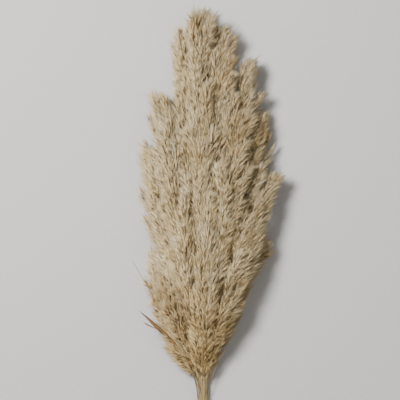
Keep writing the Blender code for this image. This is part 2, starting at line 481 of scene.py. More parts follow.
def add_hair(mesh, hair, rng):
    """One hair, which leaves the husk low down and leans out from it."""
    turn = math.tau * (hair + rng.uniform(-HAIR_SCATTER, HAIR_SCATTER)) / HAIRS
    lean = math.radians(rng.uniform(*HAIR_LEAN))
    out = Vector((math.cos(turn), math.sin(turn), 0))
    start = out * HAIR_OFF + Vector((0, 0, HUSK_LENGTH * rng.uniform(*HAIR_START)))
    share = rng.uniform(*HAIR_LENGTH) if rng.random() < USUAL_HAIRS else LONGEST
    length = SPIKELET_LENGTH * share - start.z
    end = start + (out * math.sin(lean) + Vector((0, 0, math.cos(lean)))) * length
    sliver(mesh, start, end, HAIR_WIDTH)


def spikelet(rng):
    """Arrays of one spikelet that grows up Z from the origin: points, triangles and map places."""
    mesh = bmesh.new()
    husk(mesh, rng.uniform(*HUSK_BEND))
    for hair in range(HAIRS):
        add_hair(mesh, hair, rng)
    bmesh.ops.triangulate(mesh, faces=mesh.faces[:])
    bmesh.ops.recalc_face_normals(mesh, faces=mesh.faces[:])
    mesh.verts.index_update()
    points = np.array([vertex.co[:] for vertex in mesh.verts])
    triangles = np.array([[vertex.index for vertex in face.verts] for face in mesh.faces])
    mesh.free()
    side = np.arange(len(points)) % 3 - 1
    up = np.clip(points[:, 2] / SPIKELET_LENGTH, 0, 1) * MAP_RISE + MAP_SHIFT * (side == 0)
    in_strip = side * MAP_SIDE / TINTS
    return points, triangles, np.stack([in_strip, up + MAP_ROOT], axis=1)


rng = random.Random(SEED)
kinds = [spikelet(rng) for _ in range(SPIKELET_KINDS)]
print("triangles in a spikelet:", [len(triangles) for _, triangles, _ in kinds])

# %% [markdown]
# ## Repeating the spikelets
# Copying an object tens of thousands of times would swamp the scene, and joining copies one by one is slow.
# So all copies of a spikelet are worked out at once, as one big array of points, and put in one mesh.

# %% Stamp helper
LOWEST_HAIR = 0.0002  # no hair goes lower than this over the table


def stamp(name, roots, frames, sizes, tints, kind_of, material):
    """One object with a spikelet at every root. frames holds each one's three axes as columns."""
    all_points, all_triangles, all_map, count = [], [], [], 0
    for kind, (points, triangles, places) in enumerate(kinds):
        chosen = np.flatnonzero(kind_of == kind)
        if not len(chosen):
            continue
        placed = np.einsum("nij,vj->nvi", frames[chosen], points) * sizes[chosen, None, None]
        placed += roots[chosen, None, :]
        starts = count + np.arange(len(chosen)) * len(points)
        all_triangles.append((triangles[None] + starts[:, None, None]).reshape(-1, 3))
        shift = np.stack([(tints[chosen] + 0.5) / TINTS, np.zeros(len(chosen))], axis=1)
        all_map.append((places[None] + shift[:, None, :]).reshape(-1, 2))
        all_points.append(placed.reshape(-1, 3))
        count += placed.shape[0] * placed.shape[1]
    points, triangles = np.concatenate(all_points), np.concatenate(all_triangles)
    points[:, 2] = np.maximum(points[:, 2], LOWEST_HAIR)
    data = bpy.data.meshes.new(name)
    data.vertices.add(len(points))
    data.vertices.foreach_set("co", points.ravel())
    data.loops.add(triangles.size)
    data.loops.foreach_set("vertex_index", triangles.ravel())
    data.polygons.add(len(triangles))
    data.polygons.foreach_set("loop_start", np.arange(0, triangles.size, 3))
    data.update(calc_edges=True)
    layer = data.uv_layers.new(name=MAP)
    layer.uv.foreach_set("vector", np.concatenate(all_map)[triangles.ravel()].ravel())
    return place_mesh(name, data, material)


# %% [markdown]
# ## The branches of a plume
# A plume is a branched flower head. Its main stalk sends out side branches all round and all the way up.
# They rise steeply, lie against each other, and each carries its own tassel. The soft shape in the model
# says how wide the plume is at each place. A branch leaves the middle, bends out towards that width, and
# ends near it. Some of the outer ones bend away late and stand clear of the rest, as loose tassels do. Hairs
# scattered straight over the soft shape would look like a brush: it is the branches that make tassels.

# %% Where branches start and end
BRANCHES_PER_METRE = 120
FEWEST_BRANCHES = 6
LAST_START = 0.95  # up to this share of the plume's length branches leave its stalk
CROWDING = 0.95  # below 1, the branches stand closer together towards the tip
REACH = (0.035, 0.060)  # how far a branch runs up the plume
LOW_REACH = 0.055  # how much further the lowest ones may run
TIP_MARGIN = 0.003  # the hairs of the last spikelets reach past the soft shape's tip by themselves
TIP_SCATTER = 0.012
GOLDEN_ANGLE = 2.39996  # from each branch to the next round the stalk, so that none hides another
TURN_SCATTER = 0.4
OUTSIDE_PULL = 0.35  # how far the branches of the outer plumes turn towards the bundle's sides
OUTER_PLUME = 0.05  # a plume this far from the axis is an outer one


def branch_ends(found, rng, share):
    """Where a branch starts and ends along Y. share runs from 0 for the lowest to 1 for the highest."""
    low, tip = found[0][0], found[0][-1]
    start = low + (tip - low) * LAST_START * share**CROWDING
    reach = rng.uniform(*REACH) + LOW_REACH * (1 - share) * rng.random()
    return start, min(start + reach, tip - TIP_MARGIN - rng.uniform(0, TIP_SCATTER))


def branch_turn(branch, outward, rng):
    """The direction of a branch round the stalk. outward is how far its plume is right of the axis."""
    turn = branch * GOLDEN_ANGLE + rng.uniform(-TURN_SCATTER, TURN_SCATTER)
    pull = math.copysign(min(1, abs(outward) / OUTER_PLUME), outward)
    return turn - OUTSIDE_PULL * math.sin(turn) * pull


# %% How far branches spread
SQUARE = 8  # a soft shape is a rounded square, and this is its power
THINNEST = 0.55  # share of the soft shape's width that a branch spreads over
WIDEST_OUTSIDE = 0.95
WIDEST_INSIDE = 1.25  # towards the middle of the bundle, where neighbours' branches mix
MORE_INSIDE = 0.5  # what plumes at the side add to that
SIDE_PLUME = 0.06
CLEAR_SHARE = 0.35  # of the outer branches, which stand clear of the rest
CLEAR_SPREAD = (1.05, 1.3)
FACING = 0.02  # a branch counts as an outer one if it faces outwards by more than this
SIDEWAYS = 0.5  # and only those that point sideways by more than this may stand clear


def branch_spread(turn, outward, rng):
    """How wide a branch spreads, as a share of the soft shape's width, and whether it stands clear."""
    outside = math.cos(turn) * outward > FACING * abs(outward)
    squareness = (math.cos(turn) ** SQUARE + math.sin(turn) ** SQUARE) ** (-1 / SQUARE)
    widest = WIDEST_OUTSIDE if outside else WIDEST_INSIDE + MORE_INSIDE * min(1, abs(outward) / SIDE_PLUME)
    sideways = abs(math.cos(turn)) > SIDEWAYS
    clear = outside and sideways and rng.random() < CLEAR_SHARE
    spread = rng.uniform(THINNEST, widest) * squareness
    if clear:
        spread = rng.uniform(*CLEAR_SPREAD) * squareness
    return spread, clear


# %% Branch lines
BRANCH_STEPS = 14
LOWEST = 0.005  # branches keep this far above the table
HIGHEST = 0.078
BROAD = ("plume_01", "plume_02", "plume_07")  # these have a broad rounded head, and the others a point
POINTED = 0.055  # the length of that point
POINT_WIDTH = 0.2
POINT_CURVE = 0.7
BLUNT = 0.008  # this close to the tip a plume gets no narrower by itself
LEAST_WIDTH = 0.012
BEND = 1.3  # an ordinary branch bends out early, and a clear one late
CLEAR_BEND = 1.5
SWAY = 0.3
UPWARDS = 0.1
BACK_DEPTH = 0.010  # branches that grow upwards stop this far under the bundle's back
LIFT = (0.6, 1)  # how much of the way to there they rise
LIFT_CURVE = 0.6


def branch_line(found, start, end, turn, spread, clear, pointed, rng):
    """The points of a branch, from the stalk to its tip."""
    tip = found[0][-1]
    up = np.linspace(0, 1, BRANCH_STEPS)
    y = start + (end - start) * up
    line = middle_at(found, y)
    narrow = np.clip((tip - y) / POINTED, POINT_WIDTH, 1) ** POINT_CURVE if pointed else 1
    wide = np.maximum(radius_at(found, np.minimum(y, tip - BLUNT)), LEAST_WIDTH) * spread * narrow
    out = wide * (up**CLEAR_BEND if clear else 1 - (1 - up) ** BEND)
    sway = rng.uniform(-SWAY, SWAY) * up
    line[:, 0] += out * np.cos(turn + sway)
    line[:, 1] = y
    line[:, 2] += out * np.sin(turn + sway)
    if math.sin(turn) > UPWARDS:
        hollow = np.maximum(back_at(line) - BACK_DEPTH - line[:, 2], 0)
        line[:, 2] += hollow * up**LIFT_CURVE * rng.uniform(*LIFT)
    line[:, 2] = np.clip(line[:, 2], LOWEST, HIGHEST)
    return line


def branch_lines(found, rng, pointed):
    """The lines of all the branches of a plume, and which of them stand clear."""
    lines, standing = [], []
    total = round(BRANCHES_PER_METRE * (found[0][-1] - found[0][0])) + FEWEST_BRANCHES
    for branch in range(total):
        start, end = branch_ends(found, rng, branch / total)
        outward = middle_at(found, (start + end) / 2)[0] - axis_x
        turn = branch_turn(branch, outward, rng)
        spread, clear = branch_spread(turn, outward, rng)
        lines.append(branch_line(found, start, end, turn, spread, clear, pointed, rng))
        standing.append(clear)
    return lines, standing


# %% [markdown]
# ## Extra branches and neck branches
# No rule gives every tassel of a real bundle. A few stand at corners of the outline, in one hollow on the
# right and low on the left, and each is drawn as a branch from its plume to a point. Each plume also has a
# few branches that lie along its cane, so that the fluff thins out slowly towards the neck.

# %% Extra branches
EXTRA_LENGTH = 0.08
EXTRA_BULGE = (0, 0.004, 0.003)
EXTRA_BRANCHES = {  # the tips: right of the axis, above the neck and over the table
    "plume_01": ((-0.016, 0.512, 0.056), (0.012, 0.512, 0.056)),
    "plume_02": ((0.031, 0.496, 0.040), (0.041, 0.484, 0.034), (0.037, 0.455, 0.056), (0.040, 0.430, 0.058)),
    "plume_03": ((0.066, 0.446, 0.040), (0.080, 0.404, 0.034)),
    "plume_05": ((0.106, 0.288, 0.040),),
    "plume_06": ((0.092, 0.184, 0.020), (0.054, 0.238, 0.052), (0.050, 0.215, 0.056), (0.047, 0.190, 0.056),
                 (0.058, 0.225, 0.050), (0.043, 0.160, 0.056), (0.052, 0.200, 0.050)),
    "plume_07": ((-0.031, 0.494, 0.040),),
    "plume_08": ((-0.069, 0.402, 0.034),),
    "plume_09": ((-0.081, 0.332, 0.026),),
    "plume_10": ((-0.046, 0.046, 0.030), (-0.043, 0.038, 0.018), (-0.035, 0.029, 0.028),
                 (-0.047, 0.054, 0.016), (-0.040, 0.042, 0.040), (-0.027, 0.022, 0.020),
                 (-0.049, 0.060, 0.034)),
}


def from_neck(right, above, height):
    """A point given by its distance right of the axis, above the neck and over the table."""
    return np.array((axis_x + right, neck_y + above, height))


def extra_branch(found, end):
    """A branch from a plume out to a point."""
    tip = from_neck(*end)
    base = middle_at(found, np.array([max(found[0][0], tip[1] - EXTRA_LENGTH)]))[0]
    up = np.linspace(0, 1, BRANCH_STEPS)[:, None]
    return base + (tip - base) * up + np.sin(up * math.pi) * np.array(EXTRA_BULGE)


# %% Neck branches
NECK_BRANCHES = 4
NECK_START = (-0.004, 0.008)  # above the neck
NECK_END = (0.008, 0.03)  # above the bottom of the plume
NECK_ASIDE = 0.003
NECK_LIFT = (0.001, 0.005)


def neck_branch(node, found, rng):
    """A branch that lies along a plume's own cane, from the neck to the bottom of the plume."""
    cane = rings(node.replace("plume", "stem"))
    y = np.linspace(neck_y + rng.uniform(*NECK_START), found[0][0] + rng.uniform(*NECK_END), BRANCH_STEPS)
    line = middle_at(cane, np.minimum(y, cane[0][-1]))
    line[:, 0] += rng.uniform(-NECK_ASIDE, NECK_ASIDE)
    line[:, 1] = y
    line[:, 2] += rng.uniform(*NECK_LIFT)
    return line


# %% Grow the branches
rng = random.Random(SEED)
branches = {}
stands_clear = {}
for node in plume_nodes:
    found = plume_rings[node]
    lines, standing = branch_lines(found, rng, node not in BROAD)
    stands_clear[node] = np.array(standing)
    lines += [neck_branch(node, found, rng) for _ in range(NECK_BRANCHES)]
    lines += [extra_branch(found, end) for end in EXTRA_BRANCHES.get(node, ())]
    branches[node] = np.array(lines)
print("branches:", {node: len(lines) for node, lines in branches.items()})

# %% [markdown]
# ## Where the spikelets sit
# The spikelets crowd round their branch on hair-thin twigs, which the fluff hides. So each one starts a few
# millimetres off the branch and points up along it and a little outwards, like the bristles of a bottle
# brush. All fluff also leans out towards the sides of the bundle, more the nearer it is to the edge.

# %% Directions
LEAN = (0.42, 0.56)  # how much the fluff leans out at the left and the right edge


def unit(vectors):
    """The same directions with a length of one."""
    return vectors / np.maximum(np.linalg.norm(vectors, axis=-1, keepdims=True), 1e-9)


def swing(along, side, degrees):
    """Directions turned away from along, towards side, which is square to it."""
    angle = np.radians(degrees)[:, None]
    return along * np.cos(angle) + side * np.sin(angle)


def lean_at(points):
    """How far sideways the fluff leans at each point: nothing on the axis, LEAN at the bundle's edges."""
    across = np.clip(across_at(points), -1, 1)
    return across * np.where(across < 0, LEAN[0], LEAN[1])


def frames_along(aim, draw):
    """Three axes for each spikelet: the third lies along its aim, and the first two at a random turn."""
    spin = unit(draw.normal(size=aim.shape))
    first = unit(np.cross(spin, aim))
    return np.stack([first, np.cross(aim, first), aim], axis=-1)


# %% Spikelets on a branch
TASSEL_RADIUS = 0.0065
TASSEL_SHAPE = ((0, 0.35, 1), (0.5, 1, 0.3))  # its thickness at places along the branch
BARE_START = 0.06  # this share of a branch carries no spikelets, and the rest does
COVERED = 0.94
OPEN = 4  # degrees that a spikelet opens out from its branch
OPEN_OUTSIDE = 20  # and more on the outside of the tassel
OPEN_TIP = 12  # and at the tip of the branch
OPEN_SCATTER = 4


def try_places(lines, tries, draw):
    """Roots, directions and branches of spikelets, spread evenly over the length of all branches."""
    lengths = np.linalg.norm(np.diff(lines, axis=1), axis=2).sum(axis=1)
    pick = draw.choice(len(lines), tries, p=lengths / lengths.sum())
    up = BARE_START + COVERED * draw.random(tries)
    place = up * (BRANCH_STEPS - 1)
    low = np.minimum(place.astype(int), BRANCH_STEPS - 2)
    near, far = lines[pick, low], lines[pick, low + 1]
    along = unit(far - near)
    side = draw.normal(size=along.shape)
    side = unit(side - along * np.sum(side * along, axis=1, keepdims=True))
    out = np.sqrt(draw.random(tries))
    off = TASSEL_RADIUS * out * np.interp(up, *TASSEL_SHAPE)
    roots = near + (far - near) * (place - low)[:, None] + side * off[:, None]
    opened = OPEN + OPEN_OUTSIDE * out + OPEN_TIP * up**4 + draw.normal(0, OPEN_SCATTER, tries)
    aim = swing(along, side, opened)
    aim[:, 0] += lean_at(roots)
    return roots, unit(aim), pick


# %% [markdown]
# ## What is left out
# A real bundle has far more spikelets than a scene can hold, but most are never seen. So those deep inside a
# plume are mostly left out, and the others stand where the eye finds them. Spikelets that would reach past
# the outline are left out too. Each tassel may reach a little further or less far than the next, so the edge
# stays ragged, and those that stand clear reach furthest.

# %% Thinning and trimming
TRIES = 5  # places tried for each spikelet that is kept
SURE_LOSS = 1.3  # the chance to be left out, for each unit of depth
SAFE_DEPTH = 0.25  # what is taken off that chance, so that all fluff near the surface stays
NEIGHBOUR_DEPTH = 1.6  # inside another plume the depth counts this much more
REAL_PLUME = 0.004  # a soft shape thinner than this hides nothing
SKIN = 0.025  # nearer than this to the back of the bundle, depth counts less
RAGGED = (-0.005, 0.006)  # a tassel ends this far outside the outline
RAGGED_HAIR = 0.002
CLEAR_SLACK = 0.011  # for tassels that stand clear of the rest
BROAD_HEAD = 0.006  # how much further out the broad plumes may reach
FREE = 1.0  # the extra branches aren't trimmed
LOW_PART = 0.15  # the part above the neck, where the fluff is shorter and browner
LOW_TRIM = 0.008


def buried(points, own):
    """How deep each point lies: 0 at the surface of the bundle, up to 1 in the middle of a plume."""
    deepest = np.zeros(len(points))
    for node, found in plume_rings.items():
        y = points[:, 1]
        radius = np.maximum(radius_at(found, y), 1e-6)
        away = np.linalg.norm((points - middle_at(found, y))[:, [0, 2]], axis=1)
        depth = np.clip(1 - away / radius, 0, 1) * (radius > REAL_PLUME)
        if node != own:
            depth = np.clip(depth * NEIGHBOUR_DEPTH, 0, 1)
        deepest = np.maximum(deepest, depth)
    return deepest * np.clip((back_at(points) - points[:, 2]) / SKIN, 0, 1)


def tassel_slack(node, total, draw):
    """How far outside the outline each of a plume's tassels may reach."""
    clear = stands_clear[node]
    slack = draw.uniform(RAGGED[0], RAGGED[1], total)
    slack += BROAD_HEAD * (node in BROAD)
    slack[:len(clear)][clear] = CLEAR_SLACK
    slack[total - len(EXTRA_BRANCHES.get(node, ())):] = FREE
    return slack


def spikelet_places(node, count, draw):
    """Roots, directions and branches of the spikelets of one plume."""
    lines = branches[node]
    tries = count * TRIES
    roots, aim, pick = try_places(lines, tries, draw)
    slack = tassel_slack(node, len(lines), draw)
    halfway = roots + aim * SPIKELET_LENGTH * 0.5
    keep = draw.random(tries) > buried(halfway, node) * SURE_LOSS - SAFE_DEPTH
    low = np.clip(1 - (roots[:, 1] - neck_y) / LOW_PART, 0, 1)
    limit = slack[pick] - low * LOW_TRIM + draw.normal(0, RAGGED_HAIR, tries)
    keep &= past_outline(roots + aim * SPIKELET_LENGTH) < limit
    chosen = np.flatnonzero(keep)[:count]
    return roots[chosen], aim[chosen], pick[chosen]


# %% [markdown]
# ## Tints, and growing the fluff
# Light and brown patches run over the whole bundle, each tassel differs a little from the next, and the
# fluff is browner near the neck and in a few old places. Smooth noise gives the patches, because plain
# random numbers would only look like dust. No hair goes through the table or over the highest plume: a
# spikelet that would is moved, and not bent.

# %% Tint of the spikelets
TINT = 0.36  # the usual place on the palette, and what moves a spikelet from it
PATCH_TINT = 0.30
BRANCH_TINT = 0.10
OWN_TINT = 0.13
WIDE_PATCH = 0.035
SMALL_PATCH = 0.012
SMALL_SHARE = 0.5
BROWNEST = 0.999
RUST = (  # right of the axis, above the neck, radius and strength of a browner place
    (0.088, 0.345, 0.016, 0.42),
    (-0.004, 0.030, 0.020, 0.4),
    (-0.036, 0.095, 0.030, 0.3),
)
LOW_RUST = 0.32


def patch(point, size):
    """Smooth noise from -1 to 1 over the bundle."""
    return noise.noise(Vector(point) / size)


def rust_at(points):
    """How much browner than usual the fluff is: near the neck and in a few old or damp places."""
    above = points[:, 1] - neck_y
    rust = LOW_RUST * np.clip(1 - above / LOW_PART, 0, 1)
    for right, up, radius, strength in RUST:
        away = np.hypot(points[:, 0] - axis_x - right, above - up)
        rust += strength * np.exp(-(away / radius)**2)
    return rust


def tints_at(roots, node, branch, draw):
    """The strip of the palette for each spikelet."""
    shade = np.array([patch(root, WIDE_PATCH) + SMALL_SHARE * patch(root, SMALL_PATCH) for root in roots])
    by_branch = draw.normal(0, BRANCH_TINT, len(branches[node]))[branch]
    tint = TINT + PATCH_TINT * shade + by_branch + rust_at(roots) + draw.normal(0, OWN_TINT, len(roots))
    return np.floor(np.clip(tint, 0, BROWNEST) * TINTS)


# %% Grow the fluff
SPIKELETS = 79000  # in the whole bundle
MOST_IN_A_PLUME = 8900
SIZES = (0.75, 1.2)
SIDE_MARGIN = 0.013  # how far past the soft shapes' sides a hair may reach
CEILING = 0.084
TABLE_GAP = 0.0012


def move_inside(roots, aim, sizes):
    """Moves spikelets whose longest hair would leave the room there is at the sides, above or below."""
    tips = roots + aim * (SPIKELET_LENGTH * sizes * LONGEST)[:, None]
    left, right = cad_box[0][0] - SIDE_MARGIN, cad_box[1][0] + SIDE_MARGIN
    roots[:, 0] -= np.maximum(tips[:, 0] - right, 0) + np.minimum(tips[:, 0] - left, 0)
    roots[:, 2] -= np.maximum(tips[:, 2] - CEILING, 0)
    roots[:, 2] += np.maximum(TABLE_GAP - np.minimum(tips[:, 2], roots[:, 2]), 0)


draw = np.random.default_rng(SEED)
areas = {node: float(np.sum(found[2][:-1] * np.diff(found[0]))) for node, found in plume_rings.items()}
triangles_made = 0
for node in plume_nodes:
    share = areas[node] / sum(areas.values())
    count = min(round(SPIKELETS * share), MOST_IN_A_PLUME)
    roots, aim, branch = spikelet_places(node, count, draw)
    sizes = draw.uniform(SIZES[0], SIZES[1], len(roots))
    move_inside(roots, aim, sizes)
    tints = tints_at(roots, node, branch, draw)
    kind_of = draw.integers(0, SPIKELET_KINDS, len(roots))
    material = tawny_fluff if node == "plume_11" else cream_fluff
    made = stamp(f"{node}_fluff", roots, frames_along(aim, draw), sizes, tints, kind_of, material)
    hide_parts(node)
    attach(made, "root")
    triangles_made += len(made.data.polygons)
    print(made.name, len(roots), "spikelets", len(made.data.polygons), "triangles")
print("triangles of fluff:", triangles_made)

# %% [markdown]
# ## Straw
# Canes, branches, leaves and bare straws are all dry grass: tan with fine dark lines along it and small
# brown specks. One node group makes that grain from Object coordinates, stretched along Y because the
# bundle lies that way, and each material places it with its own colours.

# %% Straw grain group
GRAIN_LINES = (1500, 30, 1500)
GRAIN_PATCHES = (120, 18, 120)
GRAIN_SPECKS = (700, 260, 700)
STRAW_ROUGHNESS = (0.62, 0.42)


def straw_grain_group():
    """Colour, roughness and height of dry grass: lines, worn patches and specks."""
    group, into, out = new_group(
        "straw_grain",
        (("Light", "NodeSocketColor", (0.6, 0.5, 0.3, 1)),
         ("Dark", "NodeSocketColor", (0.3, 0.2, 0.1, 1)),
         ("Speck", "NodeSocketColor", (0.15, 0.08, 0.04, 1))),
        (("Color", "NodeSocketColor"), ("Roughness", "NodeSocketFloat"), ("Height", "NodeSocketFloat")))
    links = group.links
    place = group.nodes.new("ShaderNodeTexCoord").outputs["Object"]
    lines = fine_noise(group, place, GRAIN_LINES, 3.0)
    patches = fine_noise(group, place, GRAIN_PATCHES, 2.0)
    specks = fine_noise(group, place, GRAIN_SPECKS, 1.0)
    line_mask = ramp(group, lines, ((0.36, BLACK), (0.62, WHITE)))
    patch_mask = ramp(group, patches, ((0.42, BLACK), (0.68, (0.75, 0.75, 0.75))))
    speck_mask = ramp(group, specks, ((0.61, BLACK), (0.69, (0.8, 0.8, 0.8))))
    lined = mix(group, "MIX", line_mask, into.outputs["Dark"], into.outputs["Light"])
    worn = mix(group, "MIX", patch_mask, lined, into.outputs["Dark"])
    specked = mix(group, "MIX", speck_mask, worn, into.outputs["Speck"])
    links.new(specked, out.inputs["Color"])
    links.new(between(group, patches, *STRAW_ROUGHNESS), out.inputs["Roughness"])
    links.new(lines, out.inputs["Height"])
    return group


straw_grain = straw_grain_group()

# %% Straw materials
STRAW_SPECULAR = 0.4
GRAIN_DEPTH = 0.00006


def straw_material(name, light, dark, speck):
    """Dry grass, a little waxy, with raised lines."""
    made, tree, principled = new_material(name, STRAW_SPECULAR)
    grain = group_node(tree, straw_grain, Light=light, Dark=dark, Speck=speck)
    tree.links.new(grain["Color"], principled.inputs["Base Color"])
    tree.links.new(grain["Roughness"], principled.inputs["Roughness"])
    raise_surface(tree, principled, grain["Height"], GRAIN_DEPTH)
    return made


cane_skin = straw_material("cane_skin", (0.40, 0.31, 0.145), (0.17, 0.12, 0.052), (0.07, 0.04, 0.018))
cane_pith = straw_material("cane_pith", (0.80, 0.71, 0.52), (0.62, 0.50, 0.32), (0.40, 0.28, 0.15))
branch_skin = straw_material("branch_skin", (0.66, 0.52, 0.29), (0.42, 0.29, 0.13), (0.20, 0.11, 0.05))
leaf_skin = straw_material("leaf_skin", (0.30, 0.16, 0.06), (0.10, 0.05, 0.02), (0.04, 0.02, 0.01))
neck_skin = straw_material("neck_skin", (0.42, 0.33, 0.155), (0.18, 0.13, 0.055), (0.07, 0.04, 0.02))
print("straw materials:", [skin.name for skin in (cane_skin, cane_pith, branch_skin, leaf_skin, neck_skin)])

# %% [markdown]
# ## Stalks and branches inside the plumes
# Each plume has a stalk that runs on from its cane, and a thin branch along every branch line. They show
# where the fluff is thin, low down and from beneath, and they are what the spikelets hang on.

# %% Branches
STALK_RADII = (0.0013, 0.0004)
STALK_SIDES = 6
STALK_STEP = 0.02
STALK_SHORT = 0.01  # the stalk stops this far before the plume's tip
BRANCH_RADII = (0.00035, 0.00015)
BRANCH_SIDES = 3
EVERY = 3  # a thin branch needs only every third point of its line

for node in plume_nodes:
    found = plume_rings[node]
    mesh = bmesh.new()
    along = np.arange(found[0][0], found[0][-1] - STALK_SHORT, STALK_STEP)
    strand(mesh, middle_at(found, along), tapered(STALK_RADII, len(along)), STALK_SIDES)
    for line in branches[node]:
        few = line[::EVERY]
        strand(mesh, few, tapered(BRANCH_RADII, len(few)), BRANCH_SIDES)
    made = piece(f"{node}_branches", mesh, branch_skin)
    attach(made, "root")
print("stalks and branches in", len(plume_nodes), "plumes")

# %% [markdown]
# ## Canes
# The cut stems are smooth canes with a thick joint. The lower part of each is still wrapped in a dry leaf
# sheath, which ends in a thin step, and under the skin of the cut end is pale, sunken pith. A plain tube
# would do from afar, but the joint, the step and the cut end tell cane from pipe. A cane is a strand with
# twelve sides, and its cut face is inset and pushed in.

# %% Canes
CANE_SIDES = 12
CANE_RADIUS = 0.00122
CANE_STEP = 0.008
SHEATH_RADIUS = 0.00148
SHEATH_END = (-0.045, 0.055)  # above the tie
SHEATH_EDGE = 0.0003
JOINT_BELOW = (0.02, 0.04)  # the end of the sheath
JOINT_HALF = 0.0012
JOINT_REACH = 0.0015
JOINT_TOP = 0.0001
JOINT_PINCH = 0.94  # the joint's groove and ridge, as shares of the sheath's radius
JOINT_RIDGE = 1.03
SKIN_THICKNESS = 0.00035
PITH_DEPTH = 0.0006


def cane_radii(places, sheath_end, joint):
    """The radius of a cane at each place: sheath, bare cane, and the joint with a groove on both sides."""
    radii = np.where(places <= sheath_end, SHEATH_RADIUS, CANE_RADIUS)
    radii = np.where(abs(places - joint) < JOINT_REACH, SHEATH_RADIUS * JOINT_PINCH, radii)
    return np.where(abs(places - joint) < JOINT_TOP, SHEATH_RADIUS * JOINT_RIDGE, radii)


rng = random.Random(SEED)
for node in stem_nodes:
    found = rings(node)
    low, high = found[0][0], found[0][-1]
    sheath_end = tie.y + rng.uniform(*SHEATH_END)
    joint = sheath_end - rng.uniform(*JOINT_BELOW)
    places = list(np.arange(low, high, CANE_STEP))
    places += [high, sheath_end, sheath_end + SHEATH_EDGE, joint - JOINT_HALF, joint, joint + JOINT_HALF]
    places = np.unique(np.round(places, 5))
    mesh = bmesh.new()
    strand(mesh, middle_at(found, places), cane_radii(places, sheath_end, joint), CANE_SIDES)
    cut = min(mesh.faces, key=lambda face: face.calc_center_median().y)
    bmesh.ops.inset_region(mesh, faces=[cut], thickness=SKIN_THICKNESS)
    bmesh.ops.translate(mesh, verts=cut.verts[:], vec=(0, PITH_DEPTH, 0))
    cut.material_index = 1
    made = piece(node.replace("stem", "cane"), mesh, cane_skin)
    made.data.materials.append(cane_pith)
    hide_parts(node)
    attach(made, "root")
print("canes:", len(stem_nodes), "the last one", round(high - low, 3), "m long")

# %% [markdown]
# ## Twine
# The tie is two-ply twine: two yarns twisted round each other, then wound five times round the canes. Each
# yarn is a strand along a helix round the winding's own line. One tube with slanting stripes would be less
# work, but its edge would stay smooth, and here the twist is real shape. The winding's line
# is the tightest loop round the sleeve in the model, less half the twine's thickness: twine under tension
# runs straight from one outer cane to the next.

# %% Twine material
FIBRES = (2600, 2600, 2600)
STAINS = (160, 160, 160)
STAIN_TONE = (0.72, 0.68, 0.62)
TWINE_SPECULAR = 0.2
FIBRE_DEPTH = 0.00012


def twine_material(name, light, dark):
    """Rough plant fibre: fine noise for colour and for bump."""
    made, tree, principled = new_material(name, TWINE_SPECULAR)
    place = tree.nodes.new("ShaderNodeTexCoord").outputs["Object"]
    fibres = fine_noise(tree, place, FIBRES, 3.0)
    stain = fine_noise(tree, place, STAINS, 1.0)
    spread = ramp(tree, fibres, ((0.3, dark), (0.65, light)))
    tone = ramp(tree, stain, ((0.35, STAIN_TONE), (0.6, WHITE)))
    colour = mix(tree, "MULTIPLY", 0.8, spread, tone)
    rough = ramp(tree, fibres, ((0.2, (0.95, 0.95, 0.95)), (0.8, (0.75, 0.75, 0.75))))
    tree.links.new(colour, principled.inputs["Base Color"])
    tree.links.new(rough, principled.inputs["Roughness"])
    raise_surface(tree, principled, fibres, FIBRE_DEPTH)
    return made


jute = twine_material("jute", (0.50, 0.36, 0.19), (0.22, 0.14, 0.07))
print("twine material:", jute.name)

# %% Twisted yarns
TWINE_RADIUS = 0.0012
TWIST_LENGTH = 0.0075
YARN_STEP = 0.0011
YARN_OFFSET = 0.47  # of a yarn's middle from the twine's, as a share of the twine's radius
YARN_SHARE = 0.53  # a yarn's own radius
YARN_SIDES = 8
LOOSE_EVERY = 0.0028  # one loose fibre for each such length
LOOSE_ROOT = 0.7
LOOSE_OUT = (0.3, 1)  # how much a loose fibre points outwards, and along the twine
LOOSE_ALONG = (-1, 1)
LOOSE_LENGTH = (0.0006, 0.0022)
LOOSE_WIDTH = 0.00012
ACROSS_TWINE = (0.31, 0.87, 0.38)  # any direction that the twine never runs in


def resample(line, step):
    """Points at even steps along a line of points, and the line's length."""
    lengths = np.concatenate([[0], np.cumsum(np.linalg.norm(np.diff(line, axis=0), axis=1))])
    even = np.linspace(0, lengths[-1], max(int(lengths[-1] / step), 2))
    return np.stack([np.interp(even, lengths, line[:, axis]) for axis in range(3)], axis=1), lengths[-1]


def twist_yarns(mesh, line, rng):
    """Two yarns twisted round each other along the line, with loose fibres standing out."""
    points, length = resample(line, YARN_STEP)
    along = unit(np.gradient(points, axis=0))
    side = unit(np.cross(along, Vector(ACROSS_TWINE)))
    other = np.cross(along, side)
    turn = np.linspace(0, math.tau * length / TWIST_LENGTH, len(points))[:, None]
    for start in (0, math.pi):
        offset = side * np.cos(turn + start) + other * np.sin(turn + start)
        yarn_radii = [TWINE_RADIUS * YARN_SHARE] * len(points)
        strand(mesh, points + offset * TWINE_RADIUS * YARN_OFFSET, yarn_radii, YARN_SIDES)
    for _ in range(int(length / LOOSE_EVERY)):
        index = rng.randrange(1, len(points) - 1)
        spin = rng.uniform(0, math.tau)
        out = side[index] * math.cos(spin) + other[index] * math.sin(spin)
        root = Vector(points[index] + out * TWINE_RADIUS * LOOSE_ROOT)
        lean = Vector(out) * rng.uniform(*LOOSE_OUT) + Vector(along[index]) * rng.uniform(*LOOSE_ALONG)
        sliver(mesh, root, root + lean.normalized() * rng.uniform(*LOOSE_LENGTH), LOOSE_WIDTH)
    return length


# %% Wound twine
TWINE_TURNS = 5
POINTS_IN_A_TURN = 48

